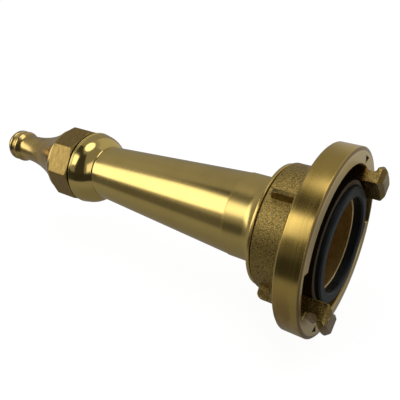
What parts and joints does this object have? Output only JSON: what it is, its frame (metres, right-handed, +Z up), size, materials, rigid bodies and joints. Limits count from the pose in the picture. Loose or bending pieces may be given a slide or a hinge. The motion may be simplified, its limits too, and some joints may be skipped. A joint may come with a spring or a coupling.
{
  "type": "solid stream fire hose nozzle",
  "caption": "Tapered brass branchpipe: a twin-claw half-coupling with a turning ring and face seal, a conical barrel, and a screw-on tip with an octagonal wrench grip.",
  "frame": {"origin": "centre of the coupling face, on the nozzle axis", "axes": "+X along the nozzle axis out of the coupling mouth, -X towards the outlet, +Z up"},
  "size_m": [0.2518, 0.098, 0.098],
  "materials": {
    "barrel_brass": "turned and satin polished",
    "insert_brass": "turned",
    "ring_brass": "sand cast with machined rim and face",
    "tip_brass": "turned, with milled wrench flats",
    "seal_rubber": "moulded black rubber",
    "washer_plastic": "black moulded"
  },
  "bodies": {
    "barrel_body": {"barrel": "barrel_brass", "coupling_insert": "insert_brass", "insert_o_ring": "seal_rubber", "face_seal": "seal_rubber", "thrust_washer": "washer_plastic"},
    "claw_ring": {"claw_ring": "ring_brass"},
    "tip_carrier": {"tip_gasket": "seal_rubber"},
    "nozzle_tip": {"nozzle_tip": "tip_brass"}
  },
  "joints": [
    {"name": "claw_ring_turn", "type": "hinge", "parent": "barrel_body", "child": "claw_ring", "pos_m": [0, 0, 0], "axis": [1, 0, 0], "continuous": true},
    {"name": "tip_travel", "type": "slide", "parent": "barrel_body", "child": "tip_carrier", "axis": [-1, 0, 0], "range_m": [0, 0.009]},
    {"name": "tip_turn", "type": "hinge", "parent": "tip_carrier", "child": "nozzle_tip", "pos_m": [-0.177, 0, 0], "axis": [-1, 0, 0], "range_deg": [0, 1400]}
  ],
  "couplings": [
    {"joint": "tip_travel", "follows": "tip_turn", "m_per_rad": 0.00036749}
  ]
}
